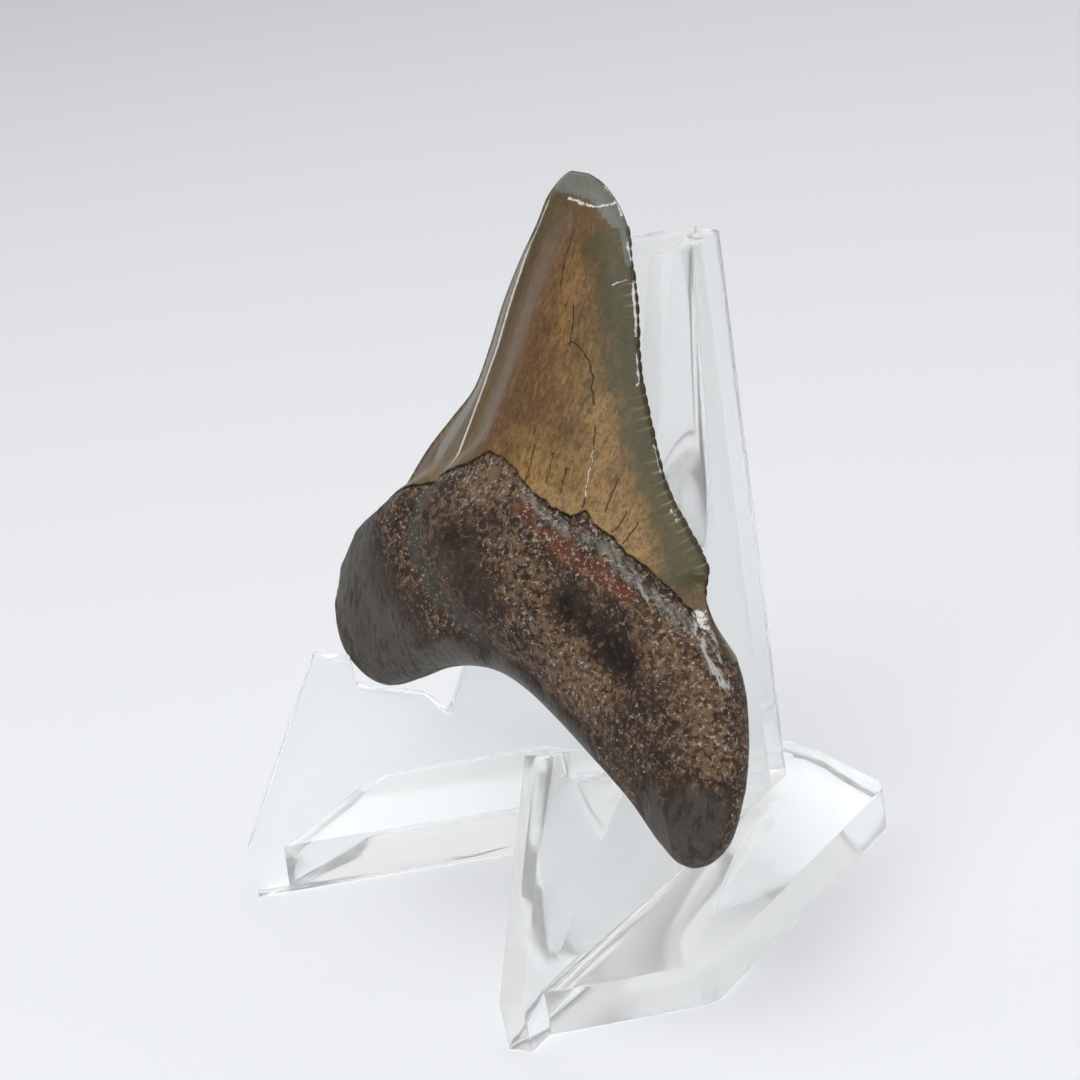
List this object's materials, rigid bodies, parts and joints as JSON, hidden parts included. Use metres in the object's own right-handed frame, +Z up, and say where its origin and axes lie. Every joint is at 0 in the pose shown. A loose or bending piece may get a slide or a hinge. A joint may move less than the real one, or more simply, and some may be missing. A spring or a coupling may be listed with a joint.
{
  "type": "fossil megalodon tooth on a display easel",
  "caption": "Fossil shark tooth with a serrated crown and arched root, leaning on the ledges and posts of a small clear V-shaped easel.",
  "frame": {"origin": "underside of the easel, on its middle line, where its two feet join behind the posts; the floor is at Z = 0", "axes": "+Z up; the easel opens and the tooth's root bulge faces -Y; +X is to the viewer's right"},
  "size_m": [0.0521, 0.0429, 0.0542],
  "materials": {
    "fossil": "glossy enamel crown over a rough granular root",
    "clear_acrylic": "clear, moulded, polished"
  },
  "bodies": {
    "root": {"tooth": "fossil", "display_stand": "clear_acrylic"}
  },
  "joints": []
}
